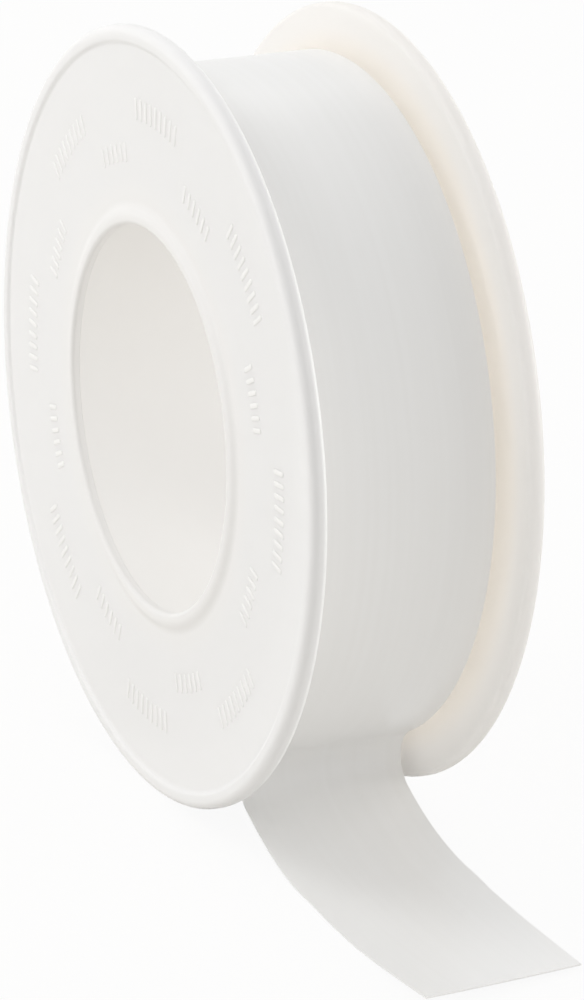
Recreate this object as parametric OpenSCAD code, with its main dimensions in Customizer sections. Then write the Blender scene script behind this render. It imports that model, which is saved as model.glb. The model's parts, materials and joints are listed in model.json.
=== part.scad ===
// Thread seal tape roll: a spool moulded in two pieces, the tape wound on it and the tape's free end.
// Millimetres. The origin is the centre of the bore. +Y runs along the bore, from the front flange
// to the rear one, +Z is up, and the roll stands on its rims. The tape's outer turn comes down the
// +X side, folds back where it leaves the winding, and its free end lies on the ground towards +X.

/* [Tape] */
// Width of the tape
tape_w = 12; // [6:0.5:25]
// Thickness of the outer turn and the free end
tape_t = 0.2; // [0.1:0.05:0.4]
// How far the winding stays below the edge of the flanges
tape_inset = 3; // [1.5:0.1:8]

/* [Flanges] */
// Diameter of both flanges
flange_d = 52; // [46:0.5:80]
// Thickness of a flange's flat field
field_t = 1; // [0.6:0.05:1.5]
// Height of the rim's bead above the field
rim_up = 0.2; // [0.1:0.05:0.4]
// Width of the rim's bead, with its blend into the field
rim_w = 1.35; // [1.1:0.05:2.5]
// Width of the flat on the rim's bead
rim_flat = 0.3; // [0.1:0.05:0.4]
// Radius of the rim's rounded outer edge
edge_r = 0.6; // [0.2:0.05:0.7]
// Radius of the rim's edge on the winding's side
inner_edge_r = 0.4; // [0.1:0.05:0.5]
// Gap between the winding and each flange
side_gap = 1; // [0.4:0.1:2]

/* [Hub] */
// Diameter of the bore
bore_d = 25.8; // [16:0.1:30]
// Wall of the spigot that the front flange is pressed over
spigot_wall = 0.65; // [0.5:0.05:1]
// Step from the spigot out to the barrel, which the front flange seats on
shoulder = 0.75; // [0.3:0.05:1.5]
// How far the snap bead stands out of the spigot
snap_up = 0.12; // [0.05:0.01:0.2]
// Radius of the snap bead's section
snap_r = 0.3; // [0.2:0.05:0.35]
// How far the lips round the bore stand out past the rims
lip_out = 0.15; // [0.1:0.05:0.6]
// Width of a lip, from the bore to the foot of its blend into the field
lip_w = 1.55; // [0.9:0.05:2]
// Radius of a lip's rounded edge at the bore
lip_r = 0.3; // [0.1:0.05:0.4]
// Width of the flat on a lip's crown
lip_flat = 0.15; // [0.1:0.05:0.3]
// Depth of the front lip where it caps the spigot's end
cap_t = 0.6; // [0.45:0.05:0.8]

/* [Free end] */
// Angle below the horizontal at which the tape leaves the winding
peel_a = 60; // [40:1:66]
// Radius of the fold where the tape leaves the winding
fold_r = 2.2; // [1:0.1:3]
// Slope of the tape as it comes out of the fold
slope_a = 25; // [15:1:40]
// Length of tape that lies flat on the ground
lie_len = 17.4; // [5:0.1:60]
// How much further the free end's front edge reaches than its rear edge
end_skew = 2.2; // [0:0.1:4]
// Length of winding left bare between the outer turn's hidden start and the fold
turn_gap = 3.2; // [2:0.1:8]

/* [Fits] */
// Clearance between the front flange and the spigot, its bead and its end
snap_clear = 0.05; // [0.02:0.01:0.1]
// Clearance between the barrel and the wound tape
pack_clear = 0.1; // [0.05:0.05:0.3]
// Clearance between the wound tape and its outer turn
turn_clear = 0.1; // [0.05:0.05:0.3]

/* [Hidden] */
$fn = 180;

spool_colour = [0.95, 0.945, 0.93];
tape_colour = [0.89, 0.885, 0.88];

// Radii
flange_r = flange_d / 2;
bore_r = bore_d / 2;
spigot_r = bore_r + spigot_wall;
barrel_r = spigot_r + shoulder;
winding_r = flange_r - tape_inset;
turn_r = winding_r - tape_t;
strip_r = winding_r - tape_t / 2;

// Distances from the middle of the spool along its axis
inner_face = tape_w / 2 + side_gap;
field_face = inner_face + field_t;
rim_face = field_face + rim_up;
lip_face = rim_face + lip_out;
cap_face = lip_face - cap_t;
spigot_face = cap_face - snap_clear;
snap_face = (inner_face + spigot_face) / 2;

// Rounded edges of the rim, held within its walls
rim_t = rim_face - inner_face;
rim_outer_r = min(edge_r, rim_t / 2);
rim_inner_r = min(inner_edge_r, rim_t / 3);

// Steps on a rounded edge, on a fold and along the winding
edge_steps = 6;
fold_steps = 24;
turn_steps = 360;

// A unit vector at an angle
function ray(a) = [cos(a), sin(a)];

// Points along an arc, both ends included
function arc(centre, r, from, to, steps) =
    [for (i = [0:steps]) centre + r * ray(from + (to - from) * i / steps)];

// Points of a smooth step between two levels, made of two equal arcs that meet in the middle
function blend(from, to, steps) =
    let (
        step = to - from,
        turn = 2 * atan(abs(step.y / step.x)),
        r = abs(step.x) / (2 * sin(turn)),
        bend = function (a) [sign(step.x) * r * sin(a), sign(step.y) * r * (1 - cos(a))]
    )
    concat(
        [for (i = [0:steps]) from + bend(turn * i / steps)],
        [for (i = [steps - 1:-1:0]) to - bend(turn * i / steps)]
    );

// A list of points in the other order
function reversed(points) = [for (i = [len(points) - 1:-1:0]) points[i]];

// A profile seen from the other end of the axis, in the same turning direction
function mirrored(points) = [for (p = reversed(points)) [p.x, -p.y]];

// Turns a profile of radius and distance towards the front into a solid round the bore's axis
module round_axis(angle = 360) {
    rotate([90, 0, 0])
        rotate_extrude(angle = angle)
            children();
}

// A flange's outer section, from its inner face round the rim, across the field and over the lip
// to the bore
function flange_edge() = concat(
    arc([flange_r - rim_inner_r, inner_face + rim_inner_r], rim_inner_r, -90, 0, edge_steps),
    arc([flange_r - rim_outer_r, rim_face - rim_outer_r], rim_outer_r, 0, 90, edge_steps),
    blend([flange_r - rim_outer_r - rim_flat, rim_face], [flange_r - rim_w, field_face], edge_steps),
    blend([bore_r + lip_w, field_face], [bore_r + lip_r + lip_flat, lip_face], edge_steps),
    arc([bore_r + lip_r, lip_face - lip_r], lip_r, 90, 180, edge_steps)
);

// The snap bead's section from the foot of the spigot towards its end, grown by a clearance
function snap_bead(clear) =
    let (r = snap_r + clear, a = acos(1 - snap_up / r))
    arc([spigot_r + snap_up - snap_r, snap_face], r, -a, a, edge_steps);

// Rear flange and hub in one moulding, with a stepped spigot and a snap bead at the front
module spool_body() {
    color(spool_colour)
        round_axis()
            polygon(concat(
                mirrored(concat([[barrel_r, inner_face]], flange_edge())),
                [
                    [barrel_r, inner_face],
                    [spigot_r, inner_face]
                ],
                snap_bead(0),
                [
                    [spigot_r, spigot_face],
                    [bore_r, spigot_face]
                ]
            ));
}

// Front flange, pressed over the spigot against its shoulder, snapped onto the bead and capping
// the spigot's end with its lip
module front_flange() {
    hole_r = spigot_r + snap_clear;
    color(spool_colour)
        round_axis()
            polygon(concat(
                [[hole_r, inner_face]],
                flange_edge(),
                [
                    [bore_r, cap_face],
                    [hole_r, cap_face]
                ],
                reversed(snap_bead(snap_clear))
            ));
}

// The inner turns of the wound tape
module tape_pack() {
    pack_r = turn_r - turn_clear;
    hollow_r = barrel_r + pack_clear;
    color(tape_colour)
        round_axis()
            translate([hollow_r, -tape_w / 2])
                square([pack_r - hollow_r, tape_w]);
}

// The last turn of the tape, from its hidden start round to where the tape leaves the winding
turn_a = 360 - turn_gap / strip_r * 180 / PI;

module tape_outer_turn() {
    color(tape_colour)
        rotate([0, peel_a, 0])
            round_axis(turn_a)
                translate([turn_r, -tape_w / 2])
                    square([tape_t, tape_w]);
}

// The free end's centre line in X and Z: a fold that touches the winding, a curve that settles onto
// the ground, and a flat run
ground_z = tape_t / 2 - flange_r;
fold_c = (strip_r + fold_r) * ray(-peel_a);
fold_end = fold_c + fold_r * ray(270 - slope_a);
settle_r = (fold_end.y - ground_z) / (1 - cos(slope_a));
settle_c = fold_end - settle_r * ray(270 - slope_a);
tail_end = settle_c.x + lie_len;

// One face of the free end, offset to the right of its centre line by a distance
function tail_face(offset) = concat(
    arc(fold_c, fold_r + offset, 180 - peel_a, 270 - slope_a, fold_steps),
    arc(settle_c, settle_r + offset, 270 - slope_a, 270, fold_steps),
    [[tail_end + end_skew / 2, ground_z - offset]]
);

// The free end of the tape, cut a little askew
module tape_tail() {
    under = tail_face(tape_t / 2);
    over = tail_face(-tape_t / 2);
    color(tape_colour)
        difference() {
            rotate([90, 0, 0])
                linear_extrude(tape_w, center = true)
                    polygon(concat(under, reversed(over)));
            translate([tail_end, 0, -2 * flange_r])
                linear_extrude(4 * flange_r)
                    polygon([
                        [end_skew, -tape_w],
                        [2 * end_skew + tape_w, -tape_w],
                        [2 * end_skew + tape_w, tape_w],
                        [-end_skew, tape_w]
                    ]);
        }
}

// Least gap between the outer turn's hidden half and the rest of the same strip
hidden_half = arc([0, 0], strip_r, turn_a - peel_a, turn_a / 2 - peel_a, turn_steps / 2);
shown_quarter = arc([0, 0], strip_r, turn_a / 4 - peel_a, -peel_a, turn_steps / 4);
strip_gaps = [for (p = hidden_half) for (q = concat(shown_quarter, tail_face(0))) norm(p - q)];
echo(strip_least_gap = min(strip_gaps) - tape_t);

spool_body();
front_flange();
tape_pack();
tape_outer_turn();
tape_tail();
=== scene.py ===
import json
import math

import bmesh
import bpy
from mathutils import Matrix, Vector

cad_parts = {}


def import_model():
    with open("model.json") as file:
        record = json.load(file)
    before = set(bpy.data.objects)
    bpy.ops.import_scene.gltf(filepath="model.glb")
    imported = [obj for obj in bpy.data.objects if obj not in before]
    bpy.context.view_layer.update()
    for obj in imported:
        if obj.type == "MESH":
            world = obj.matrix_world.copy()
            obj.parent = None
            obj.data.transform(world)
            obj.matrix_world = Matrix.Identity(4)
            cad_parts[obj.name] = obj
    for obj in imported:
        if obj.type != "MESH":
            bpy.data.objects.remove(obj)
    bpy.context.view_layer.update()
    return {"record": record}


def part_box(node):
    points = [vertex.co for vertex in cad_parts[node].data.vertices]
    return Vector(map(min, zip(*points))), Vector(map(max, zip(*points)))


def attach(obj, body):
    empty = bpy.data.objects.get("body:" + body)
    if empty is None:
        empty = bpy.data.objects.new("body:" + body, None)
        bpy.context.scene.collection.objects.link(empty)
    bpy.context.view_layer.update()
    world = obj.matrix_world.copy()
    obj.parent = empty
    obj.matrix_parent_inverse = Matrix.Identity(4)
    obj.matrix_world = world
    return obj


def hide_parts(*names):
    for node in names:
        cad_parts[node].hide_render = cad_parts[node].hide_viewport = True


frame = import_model()

MM = 0.001

# Sizes read from the frame, in metres
flange_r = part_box("front_flange")[1].z
inner_face = -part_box("front_flange")[1].y
lip_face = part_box("spool_body")[1].y
spigot_face = -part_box("spool_body")[0].y
winding_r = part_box("tape_outer_turn")[1].z
tape_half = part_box("tape_outer_turn")[1].y
ground_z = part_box("tape_tail")[0].z
tail_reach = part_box("tape_tail")[1].x
bore_r = frame["record"]["mounts"][0]["dims"]["r_mm"] * MM

# Rim and lip of both flanges
RIM_UP = 0.2 * MM
RIM_W = 1.35 * MM
RIM_FLAT = 0.3 * MM
EDGE_R = 0.6 * MM
INNER_EDGE_R = 0.4 * MM
LIP_OUT = 0.15 * MM
LIP_W = 1.55 * MM
LIP_R = 0.3 * MM
LIP_FLAT = 0.15 * MM
rim_face = lip_face - LIP_OUT
field_face = rim_face - RIM_UP

# Hub with its spigot and snap bead, and the clearances of what goes over them
SPIGOT_WALL = 0.65 * MM
SHOULDER = 0.75 * MM
SNAP_UP = 0.12 * MM
SNAP_R = 0.3 * MM
SNAP_CLEAR = 0.05 * MM
SEAM = 0.01 * MM
PACK_CLEAR = 0.1 * MM
spigot_r = bore_r + SPIGOT_WALL
barrel_r = spigot_r + SHOULDER
cap_face = spigot_face + SNAP_CLEAR
snap_face = (inner_face + spigot_face) / 2

# Low raised bars in groups on the front field
BAR_W = 0.34 * MM
BAR_UP = 0.05 * MM
BAR_SUNK = 0.02 * MM
BAR_PITCH = 0.8 * MM
BAR_GROUPS = 8
BAR_LEVELS = 4

# Rings of bars: radius, length of a bar, bars in a group and angle of the first group in degrees
BAR_RINGS = ((20.6 * MM, 1.5 * MM, 9, 0), (17.6 * MM, 1.3 * MM, 6, 22.5))

# The film and the route of its free end, with angles in degrees
FILM_T = 0.1 * MM
FILM_CLEAR = 0.01 * MM
PEEL_A = 60
TURN_A = 352
FOLD_R = 2.2 * MM
SLOPE_A = 25
END_SKEW = 2.2 * MM
strip_r = winding_r - FILM_T / 2

# How far the free end narrows on each side and drifts towards the rear
NECK_FOLD = 0.16 * MM
NECK_LIE = 0.05 * MM
DRIFT_FOLD = 0.06 * MM
DRIFT_LIE = -0.16 * MM

# Share of the fold by which the neck is full, and of the flat run by which the drift is
NECK_BY = 0.5
DRIFT_BY = 0.25

# The curled-up tip, and the share of its height at the rear edge
CURL_UP = 0.95 * MM
CURL_LEN = 11 * MM
CURL_POWER = 1.3
CURL_REAR = 0.4

# Share of the film's thickness at the strip's hidden start, and rows until it is full
THIN_START = 0.1
TAPER_ROWS = 60

# Layers of the wound tape, and the waves in which their edges stand back
LAYERS = 20
UNEVEN = 0.08 * MM
QUICK_WAVE = 2.4
SLOW_WAVE = 1.1
REAR_PHASE = 1.7

# Steps on an arc, on half a blend, round the axis, and along and across the strip
ARC_STEPS = 10
BLEND_STEPS = 8
AXIS_STEPS = 360
TURN_STEPS = 352
PATH_STEPS = 40
STRIP_COLUMNS = 24

# Steepest angle in degrees that is shaded smooth on a piece, and on the bars
SMOOTH_A = 30
BAR_SMOOTH_A = 60

# Patterns of the plastic and the film: features per metre along X, Y and Z
PLASTIC_CLOUD = (110, 110, 110)
PLASTIC_GRAIN = (2600, 2600, 2600)
FILM_CLOUD = (90, 140, 90)
FILM_STREAK = (30, 2200, 30)

# Heights of the bumps that the patterns make
PLASTIC_CLOUD_UP = 0.05 * MM
PLASTIC_GRAIN_UP = 0.004 * MM
FILM_CLOUD_UP = 0.06 * MM
FILM_STREAK_UP = 0.003 * MM

# Values between which a noise mostly lies
NOISE_LOW = 0.3
NOISE_HIGH = 0.7

# Ranges of roughness
PLASTIC_ROUGH = (0.48, 0.58)
FILM_ROUGH = (0.3, 0.36)

# Two close shades of each material. The moulding's are darker and warmer than the flange's, though both
# are one plastic: painted shade and a painted warm tint on the far flange and the bore, with a real
# random change between its two shades
MOULDING_SHADES_WITH_PAINTED_SHADE = ((0.939, 0.927, 0.907, 1), (0.949, 0.938, 0.921, 1))
FLANGE_SHADES = ((0.967, 0.958, 0.942, 1), (0.977, 0.968, 0.954, 1))
RELIEF_SHADES = ((0.93, 0.921, 0.905, 1), (0.94, 0.931, 0.916, 1))
FILM_SHADES = ((0.917, 0.913, 0.9, 1), (0.932, 0.929, 0.918, 1))

# Colours of the light that comes through the plastic, and its depth in the soft plastic
GLOW_WARM = (0.938, 0.904, 0.855, 1)
GLOW_PALE = (0.924, 0.911, 0.892, 1)
SOFT_DEPTH = 0.35 * MM

# Curves of (distance from the axis, share)
GLOW_EDGE = ((23.2 * MM, 0.0), (24.4 * MM, 1.0))
SOFT_FLANGE = ((14.6 * MM, 0.0), (16 * MM, 0.6))
MOULDING_THROUGH = (
    (12.95 * MM, 0.0),
    (13.4 * MM, 0.42),
    (17 * MM, 0.55),
    (23.8 * MM, 0.55),
    (25.2 * MM, 0.43),
)
FLANGE_THROUGH = ((13 * MM, 0.1), (14.6 * MM, 0.1), (16 * MM, 0.05), (26 * MM, 0.05))

# Light from all round, and the floor with the share of plain white where it is seen
WHITE = (1, 1, 1, 1)
AMBIENT = 0.65
FLOOR_COLOUR = (0.82, 0.8, 0.765, 1)
FLOOR_GLOW = 0.93
FLOOR_HALF = 3.0

# Lamps: name, place in metres, diameter in metres and watts
LAMPS = (
    ("key", (-0.14, -0.24, 0.29), 0.2, 0.3),
    ("front", (-0.25, -0.55, 0.1), 0.3, 0.74),
    ("left", (-0.45, 0.1, 0.45), 0.3, 0.41),
    ("rear_right", (0.2, 0.45, 0.15), 0.4, 0.46),
    ("rear", (0.1, 0.5, 0.015), 0.08, 0.64),
)

# Camera at the photograph's angle, in degrees, and its focal length in the photograph's pixels
CAMERA_AZIMUTH = 65.289
CAMERA_ELEVATION = 20.490
CAMERA_ROLL = 1.281
CAMERA_DISTANCE = 424.92 * MM
FOCAL_PX = 6411.6
PHOTO_H = 1000
SENSOR_MM = 36

# Where the origin lies from the middle of the picture
ORIGIN_RIGHT = -1.988 * MM
ORIGIN_UP = 6.365 * MM


# Mesh helpers

def ray(degrees):
    a = math.radians(degrees)
    return Vector((math.cos(a), math.sin(a)))


def arc(centre, r, start, end):
    """Points along an arc, both ends included."""
    turn = end - start
    return [Vector(centre) + r * ray(start + turn * i / ARC_STEPS) for i in range(ARC_STEPS + 1)]


def blend(start, end):
    """A smooth step between two levels, made of two equal arcs that meet in the middle."""
    start, end = Vector(start), Vector(end)
    step = end - start
    turn = 2 * math.atan(abs(step.y / step.x))
    r = abs(step.x) / (2 * math.sin(turn))

    def bend(a):
        across, up = r * math.sin(a), r * (1 - math.cos(a))
        return Vector((math.copysign(across, step.x), math.copysign(up, step.y)))

    bends = [bend(turn * i / BLEND_STEPS) for i in range(BLEND_STEPS + 1)]
    return [start + b for b in bends] + [end - b for b in reversed(bends[:-1])]


def smooth(t):
    """Eases from 0 to 1."""
    t = min(max(t, 0.0), 1.0)
    return t * t * (3 - 2 * t)


def new_object(name, bm, material, smooth_angle=SMOOTH_A):
    mesh = bpy.data.meshes.new(name)
    bmesh.ops.recalc_face_normals(bm, faces=bm.faces)
    bm.normal_update()
    bm.to_mesh(mesh)
    bm.free()
    mesh.polygons.foreach_set("use_smooth", [True] * len(mesh.polygons))
    mesh.set_sharp_from_angle(angle=math.radians(smooth_angle))
    obj = bpy.data.objects.new(name, mesh)
    bpy.context.scene.collection.objects.link(obj)
    mesh.materials.append(material)
    return obj


def join_rings(bm, here, there):
    """Faces between two closed rings with as many points."""
    for i in range(len(here)):
        k = (i + 1) % len(here)
        bm.faces.new((here[i], here[k], there[k], there[i]))


def lathe(name, section, material):
    """A closed section of (radius, distance towards the front) turned about the bore's axis."""
    bm = bmesh.new()
    rings = []
    for i in range(AXIS_STEPS):
        a = 2 * math.pi * i / AXIS_STEPS
        rings.append([bm.verts.new((p.x * math.cos(a), -p.y, p.x * math.sin(a))) for p in section])
    for here, there in zip(rings, rings[1:] + rings[:1]):
        join_rings(bm, here, there)
    return new_object(name, bm, material)


def dress(obj, body, slot, *nodes):
    """Gives a piece its body and hides the nodes that it replaces; the slot is not used."""
    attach(obj, body)
    if nodes:
        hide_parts(*nodes)


# Materials

class Nodes:
    """A node material and short ways to add nodes to it."""

    # Sockets of a Mix node's colours and of their result
    MIX_A = 6
    MIX_B = 7
    MIX_RESULT = 2

    def __init__(self, name):
        self.material = bpy.data.materials.new(name)
        self.material.use_nodes = True
        self.tree = self.material.node_tree
        self.shader = self.tree.nodes["Principled BSDF"]
        self.place = self.tree.nodes.new("ShaderNodeTexCoord").outputs["Object"]

    def set(self, socket, value):
        """Links a socket to another one, or gives it a plain value."""
        if isinstance(value, bpy.types.NodeSocket):
            self.tree.links.new(value, socket)
        else:
            socket.default_value = value

    def feed(self, name, value):
        """Sets a socket of the material's main shader."""
        self.set(self.shader.inputs[name], value)

    def add(self, kind, **sockets):
        node = self.tree.nodes.new(kind)
        for name, value in sockets.items():
            self.set(node.inputs[name.replace("_", " ")], value)
        return node

    def times(self, factors):
        """The place on the piece, multiplied along each axis."""
        node = self.add("ShaderNodeVectorMath")
        node.operation = "MULTIPLY"
        self.set(node.inputs[0], self.place)
        self.set(node.inputs[1], factors)
        return node.outputs[0]

    def noise(self, per_metre, detail):
        """Noise with a number of features per metre along each axis."""
        node = self.add("ShaderNodeTexNoise", Vector=self.times(per_metre), Scale=1.0, Detail=detail)
        return node.outputs["Fac"]

    def axis_distance(self):
        """Distance from the bore's axis in metres."""
        node = self.add("ShaderNodeVectorMath")
        node.operation = "LENGTH"
        self.set(node.inputs[0], self.times((1, 0, 1)))
        return node.outputs["Value"]

    def spread(self, noise, low, high):
        """Maps a noise to a range."""
        node = self.add("ShaderNodeMapRange", Value=noise, From_Min=NOISE_LOW, From_Max=NOISE_HIGH)
        self.set(node.inputs["To Min"], low)
        self.set(node.inputs["To Max"], high)
        return node.outputs["Result"]

    def mix(self, share, a, b):
        node = self.add("ShaderNodeMix")
        node.data_type = "RGBA"
        self.set(node.inputs["Factor"], share)
        self.set(node.inputs[self.MIX_A], a)
        self.set(node.inputs[self.MIX_B], b)
        return node.outputs[self.MIX_RESULT]

    def curve(self, value, points):
        """A value mapped through straight pieces between (value, result) points."""
        first, last = points[0][0], points[-1][0]
        node = self.add("ShaderNodeMapRange", Value=value, From_Min=first, From_Max=last)
        ramp = self.add("ShaderNodeValToRGB", Fac=node.outputs["Result"])
        while len(ramp.color_ramp.elements) < len(points):
            ramp.color_ramp.elements.new(1.0)
        for element, (at, result) in zip(ramp.color_ramp.elements, points):
            element.position = (at - first) / (last - first)
            element.color = (result, result, result, 1)
        return ramp.outputs["Color"]

    def bump(self, height, distance, normal=None):
        node = self.add("ShaderNodeBump", Height=height, Distance=distance, Strength=1.0)
        if normal:
            self.set(node.inputs["Normal"], normal)
        return node.outputs["Normal"]


def plastic(name, shades):
    """The nodes of a white plastic, a little cloudy and grained."""
    nodes = Nodes(name)
    cloud = nodes.noise(PLASTIC_CLOUD, detail=3.0)
    grain = nodes.noise(PLASTIC_GRAIN, detail=2.0)
    cloud_bump = nodes.bump(cloud, PLASTIC_CLOUD_UP)
    nodes.feed("Base Color", nodes.mix(nodes.spread(cloud, 0, 1), *shades))
    nodes.feed("Roughness", nodes.spread(cloud, *PLASTIC_ROUGH))
    nodes.feed("Normal", nodes.bump(grain, PLASTIC_GRAIN_UP, cloud_bump))
    return nodes


def let_light_in(nodes, through_curve):
    """Softens a thin plastic and lets light through it, in a share by distance from the axis."""
    radius = nodes.axis_distance()
    nodes.feed("Subsurface Weight", nodes.curve(radius, SOFT_FLANGE))
    nodes.feed("Subsurface Radius", (1.0, 1.0, 1.0))
    nodes.feed("Subsurface Scale", SOFT_DEPTH)
    glow = nodes.mix(nodes.curve(radius, GLOW_EDGE), GLOW_WARM, GLOW_PALE)
    through = nodes.add("ShaderNodeBsdfTranslucent", Color=glow)
    mix = nodes.add("ShaderNodeMixShader", Fac=nodes.curve(radius, through_curve))
    nodes.set(mix.inputs[1], nodes.shader.outputs[0])
    nodes.set(mix.inputs[2], through.outputs[0])
    nodes.set(nodes.tree.nodes["Material Output"].inputs["Surface"], mix.outputs[0])


def film():
    """The nodes of a white film with fine streaks along the tape."""
    nodes = Nodes("film")
    streak = nodes.noise(FILM_STREAK, detail=3.0)
    cloud = nodes.noise(FILM_CLOUD, detail=2.0)
    cloud_bump = nodes.bump(cloud, FILM_CLOUD_UP)
    nodes.feed("Base Color", nodes.mix(nodes.spread(streak, 0, 1), *FILM_SHADES))
    nodes.feed("Roughness", nodes.spread(cloud, *FILM_ROUGH))
    nodes.feed("Normal", nodes.bump(streak, FILM_STREAK_UP, cloud_bump))
    return nodes


# The moulding's darker, warmer shades are painted shade and a painted warm tint on the far flange and
# the bore
moulding_plastic = plastic("moulding_plastic", MOULDING_SHADES_WITH_PAINTED_SHADE)
let_light_in(moulding_plastic, MOULDING_THROUGH)
flange_plastic = plastic("flange_plastic", FLANGE_SHADES)
let_light_in(flange_plastic, FLANGE_THROUGH)
relief_plastic = plastic("relief_plastic", RELIEF_SHADES)
tape_film = film()


# Spool

def flange_edge():
    """From a flange's inner face round the rim, across the field and over the lip to the bore."""
    return (
        arc((flange_r - INNER_EDGE_R, inner_face + INNER_EDGE_R), INNER_EDGE_R, -90, 0)
        + arc((flange_r - EDGE_R, rim_face - EDGE_R), EDGE_R, 0, 90)
        + blend((flange_r - EDGE_R - RIM_FLAT, rim_face), (flange_r - RIM_W, field_face))
        + blend((bore_r + LIP_W, field_face), (bore_r + LIP_R + LIP_FLAT, lip_face))
        + arc((bore_r + LIP_R, lip_face - LIP_R), LIP_R, 90, 180)
    )


def snap_bead(clear):
    """The snap bead's section from the foot of the spigot towards its end, grown by a clearance."""
    r = SNAP_R + clear
    a = math.degrees(math.acos(1 - SNAP_UP / r))
    return arc((spigot_r + SNAP_UP - SNAP_R, snap_face), r, -a, a)


def spool_body():
    """The rear flange and the hub, with the spigot and its snap bead at the front."""
    rear = [Vector((barrel_r, inner_face))] + flange_edge()
    section = [Vector((p.x, -p.y)) for p in reversed(rear)]
    section += [Vector((barrel_r, inner_face)), Vector((spigot_r, inner_face))]
    section += snap_bead(0)
    section += [Vector((spigot_r, cap_face - SEAM)), Vector((bore_r, cap_face - SEAM))]
    obj = lathe("spool_moulding", section, moulding_plastic.material)
    dress(obj, "spool", "spool_plastic", "spool_body")


def front_flange():
    """The front flange, which goes over the spigot and caps its end."""
    hole_r = spigot_r + SNAP_CLEAR
    section = [Vector((hole_r, inner_face))] + flange_edge()
    section += [Vector((bore_r, cap_face)), Vector((hole_r, cap_face))]
    section += reversed(snap_bead(SNAP_CLEAR))
    obj = lathe("front_flange_disc", section, flange_plastic.material)
    dress(obj, "spool", "spool_plastic", "front_flange")


def bar(bm, a, r, length):
    """A low rounded bar along the radius, at an angle on the front field and a little sunk into it."""
    outward = Vector((math.cos(a), 0, math.sin(a)))
    sideways = Vector((-math.sin(a), 0, math.cos(a)))
    half = (length - BAR_W) / 2
    levels = [(BAR_W / 2, -BAR_SUNK)]
    for i in range(BAR_LEVELS):
        rise = math.radians(90 * i / BAR_LEVELS)
        levels.append((BAR_W / 2 * math.cos(rise), BAR_UP * math.sin(rise)))
    rings = []
    for w, up in levels:
        outline = arc((half, 0), w, -90, 90) + arc((-half, 0), w, 90, 270)
        middle = r * outward + Vector((0, -field_face - up, 0))
        rings.append([bm.verts.new(middle + p.x * outward + p.y * sideways) for p in outline])
    for here, there in zip(rings, rings[1:]):
        join_rings(bm, here, there)
    bm.faces.new(rings[0])
    bm.faces.new(rings[-1])


def front_relief():
    """Groups of low bars on two rings of the front field."""
    bm = bmesh.new()
    for r, length, count, turn in BAR_RINGS:
        for g in range(BAR_GROUPS):
            middle = math.radians(turn + 360 * g / BAR_GROUPS)
            for b in range(count):
                bar(bm, middle + (b - (count - 1) / 2) * BAR_PITCH / r, r, length)
    obj = new_object("front_relief", bm, relief_plastic.material, BAR_SMOOTH_A)
    dress(obj, "spool", "spool_plastic")


# Tape

def wound_tape():
    """The inner turns, whose edges stand a little in and out from layer to layer."""
    hollow_r = barrel_r + PACK_CLEAR
    depth = winding_r - FILM_T - FILM_CLEAR - hollow_r
    front, rear = [], []
    for i in range(LAYERS):
        inside = hollow_r + depth * i / LAYERS
        outside = hollow_r + depth * (i + 1) / LAYERS
        for side, phase in ((front, 0), (rear, REAR_PHASE)):
            wave = math.sin(QUICK_WAVE * i + phase) * math.cos(SLOW_WAVE * i)
            edge = tape_half - UNEVEN * (1 + wave) / 2
            side += [(inside, edge), (outside, edge)]
    section = [Vector(p) for p in front] + [Vector((r, -y)) for r, y in reversed(rear)]
    obj = lathe("wound_tape", section, tape_film.material)
    dress(obj, "spool", "tape_film", "tape_pack")


def strip_path():
    """The strip's rows along its centre line, as (point in X and Z, unit normal, stage).

    The stage is 0 on the winding, and goes to 1 round the fold, to 2 where the strip meets the ground
    and to 3 at its end.
    """
    fold_c = (strip_r + FOLD_R) * ray(-PEEL_A)
    fold_end = fold_c + FOLD_R * ray(270 - SLOPE_A)
    table_z = ground_z + FILM_T / 2
    settle_r = (fold_end.y - table_z) / (1 - math.cos(math.radians(SLOPE_A)))
    settle_c = fold_end - settle_r * ray(270 - SLOPE_A)
    end_x = tail_reach - END_SKEW / 2
    path = []
    for i in range(TURN_STEPS):
        a = -PEEL_A + TURN_A * (1 - i / TURN_STEPS)
        path.append((strip_r * ray(a), ray(a), 0))
    for i in range(PATH_STEPS):
        a = 180 - PEEL_A + (90 - SLOPE_A + PEEL_A) * i / PATH_STEPS
        path.append((fold_c + FOLD_R * ray(a), -ray(a), i / PATH_STEPS))
    for i in range(PATH_STEPS):
        a = 270 - SLOPE_A + SLOPE_A * i / PATH_STEPS
        path.append((settle_c + settle_r * ray(a), -ray(a), 1 + i / PATH_STEPS))
    for i in range(PATH_STEPS + 1):
        x = settle_c.x + (end_x - settle_c.x) * i / PATH_STEPS
        path.append((Vector((x, table_z)), Vector((0, 1)), 2 + i / PATH_STEPS))
    return path


def strip_point(q, stage, v):
    """A point across the strip, from -1 at its front edge to 1 at its rear edge."""
    folded, settled, lying = smooth(stage / NECK_BY), smooth(stage - 1), max(0.0, stage - 2)
    half = tape_half - folded * (NECK_FOLD + (NECK_LIE - NECK_FOLD) * settled)
    drift = DRIFT_FOLD * folded * (1 - settled) + DRIFT_LIE * smooth(lying / DRIFT_BY)
    x = q.x - v * END_SKEW / 2 * lying
    curl = CURL_UP * max(0.0, 1 - (tail_reach - x) / CURL_LEN) ** CURL_POWER
    return x, v * half + drift, q.y + curl * (CURL_REAR + (1 - CURL_REAR) * (1 - v) / 2)


def strip_face(bm, path, outer):
    """Rows of points on the strip's outer or inner face."""
    columns = [-1 + 2 * j / STRIP_COLUMNS for j in range(STRIP_COLUMNS + 1)]
    grid = []
    for i, (p, normal, stage) in enumerate(path):
        thick = FILM_T * (THIN_START + (1 - THIN_START) * smooth(i / TAPER_ROWS))
        q = p + normal * ((thick if outer else 0) - FILM_T / 2)
        grid.append([bm.verts.new(strip_point(q, stage, v)) for v in columns])
    return grid


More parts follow.
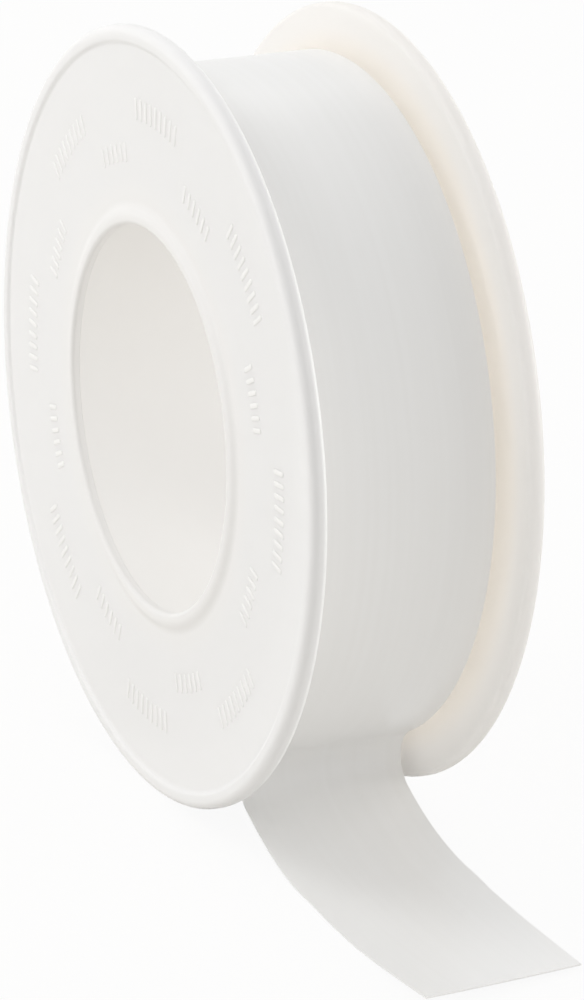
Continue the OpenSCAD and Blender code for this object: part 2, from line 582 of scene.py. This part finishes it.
def tape_strip():
    """The last turn and the free end, as one strip with two faces and four edges."""
    path = strip_path()
    last_row = len(path) - 1
    bm = bmesh.new()
    outer = strip_face(bm, path, True)
    inner = strip_face(bm, path, False)
    for grid in (outer, inner):
        for i in range(last_row):
            for j in range(STRIP_COLUMNS):
                bm.faces.new((grid[i][j], grid[i][j + 1], grid[i + 1][j + 1], grid[i + 1][j]))
    for i in range(last_row):
        for j in (0, STRIP_COLUMNS):
            bm.faces.new((outer[i][j], outer[i + 1][j], inner[i + 1][j], inner[i][j]))
    for j in range(STRIP_COLUMNS):
        for i in (0, last_row):
            bm.faces.new((outer[i][j], outer[i][j + 1], inner[i][j + 1], inner[i][j]))
    obj = new_object("tape_strip", bm, tape_film.material)
    dress(obj, "tape_end", "tape_film", "tape_outer_turn", "tape_tail")


spool_body()
front_flange()
front_relief()
wound_tape()
tape_strip()


# Stage

def seen_share(tree, share):
    """A share where the camera, a reflection or clear material sees the surface, and 0 for its light."""
    path = tree.nodes.new("ShaderNodeLightPath")
    seen = path.outputs["Is Camera Ray"]
    for name in ("Is Glossy Ray", "Is Transmission Ray"):
        either = tree.nodes.new("ShaderNodeMath")
        either.operation = "MAXIMUM"
        tree.links.new(seen, either.inputs[0])
        tree.links.new(path.outputs[name], either.inputs[1])
        seen = either.outputs[0]
    scale = tree.nodes.new("ShaderNodeMath")
    scale.operation = "MULTIPLY"
    scale.inputs[1].default_value = share
    tree.links.new(seen, scale.inputs[0])
    return scale.outputs[0]


def mixed(tree, share, first, second, output):
    """Sends a mix of two shaders to a material's or the world's output."""
    mix = tree.nodes.new("ShaderNodeMixShader")
    tree.links.new(share, mix.inputs[0])
    tree.links.new(first.outputs[0], mix.inputs[1])
    tree.links.new(second.outputs[0], mix.inputs[2])
    tree.links.new(mix.outputs[0], output.inputs["Surface"])


def floor():
    """A wide floor that the roll stands on, almost plain white where it is seen."""
    mesh = bpy.data.meshes.new("floor")
    corners = ((-1, -1), (1, -1), (1, 1), (-1, 1))
    points = [(x * FLOOR_HALF, y * FLOOR_HALF, ground_z) for x, y in corners]
    mesh.from_pydata(points, [], [(0, 1, 2, 3)])
    obj = bpy.data.objects.new("floor", mesh)
    bpy.context.scene.collection.objects.link(obj)
    material = bpy.data.materials.new("floor_white")
    material.use_nodes = True
    tree = material.node_tree
    tree.nodes.clear()
    diffuse = tree.nodes.new("ShaderNodeBsdfDiffuse")
    diffuse.inputs["Color"].default_value = FLOOR_COLOUR
    glow = tree.nodes.new("ShaderNodeEmission")
    output = tree.nodes.new("ShaderNodeOutputMaterial")
    mixed(tree, seen_share(tree, FLOOR_GLOW), diffuse, glow, output)
    mesh.materials.append(material)


def world():
    """Soft light from all round, and plain white where the background is seen."""
    scene = bpy.context.scene
    scene.world = bpy.data.worlds.new("studio")
    scene.world.use_nodes = True
    tree = scene.world.node_tree
    tree.nodes.clear()
    soft = tree.nodes.new("ShaderNodeBackground")
    soft.inputs["Color"].default_value = WHITE
    soft.inputs["Strength"].default_value = AMBIENT
    white = tree.nodes.new("ShaderNodeBackground")
    white.inputs["Color"].default_value = WHITE
    output = tree.nodes.new("ShaderNodeOutputWorld")
    mixed(tree, seen_share(tree, 1.0), soft, white, output)


def lamp(name, place, diameter, watts):
    """A round lamp aimed at the bore's centre."""
    data = bpy.data.lights.new(name, "AREA")
    data.shape = "DISK"
    data.size = diameter
    data.energy = watts
    obj = bpy.data.objects.new(name, data)
    obj.location = place
    obj.rotation_euler = (-Vector(place)).to_track_quat("-Z", "Y").to_euler()
    bpy.context.scene.collection.objects.link(obj)


def camera():
    """The camera, turned about the bore's centre and then moved across its view."""
    degrees = (CAMERA_AZIMUTH, CAMERA_ELEVATION, CAMERA_ROLL)
    azimuth, elevation, roll = (math.radians(x) for x in degrees)
    level = Vector((math.cos(azimuth), math.sin(azimuth), 0))
    away = math.cos(elevation)
    back = Vector((math.sin(azimuth) * away, -math.cos(azimuth) * away, math.sin(elevation)))
    upright = back.cross(level)
    right = math.cos(roll) * level + math.sin(roll) * upright
    up = math.cos(roll) * upright - math.sin(roll) * level
    place = CAMERA_DISTANCE * back - ORIGIN_RIGHT * right - ORIGIN_UP * up
    data = bpy.data.cameras.new("camera")
    data.sensor_fit = "AUTO"
    data.sensor_width = SENSOR_MM
    data.lens = FOCAL_PX * SENSOR_MM / PHOTO_H
    data.clip_start = 0.01
    data.clip_end = 20
    obj = bpy.data.objects.new("camera", data)
    obj.matrix_world = Matrix((
        (right.x, up.x, back.x, place.x),
        (right.y, up.y, back.y, place.y),
        (right.z, up.z, back.z, place.z),
        (0, 0, 0, 1),
    ))
    bpy.context.scene.collection.objects.link(obj)
    bpy.context.scene.camera = obj


floor()
world()
for lamp_values in LAMPS:
    lamp(*lamp_values)
camera()
bpy.context.scene.view_settings.view_transform = "Standard"
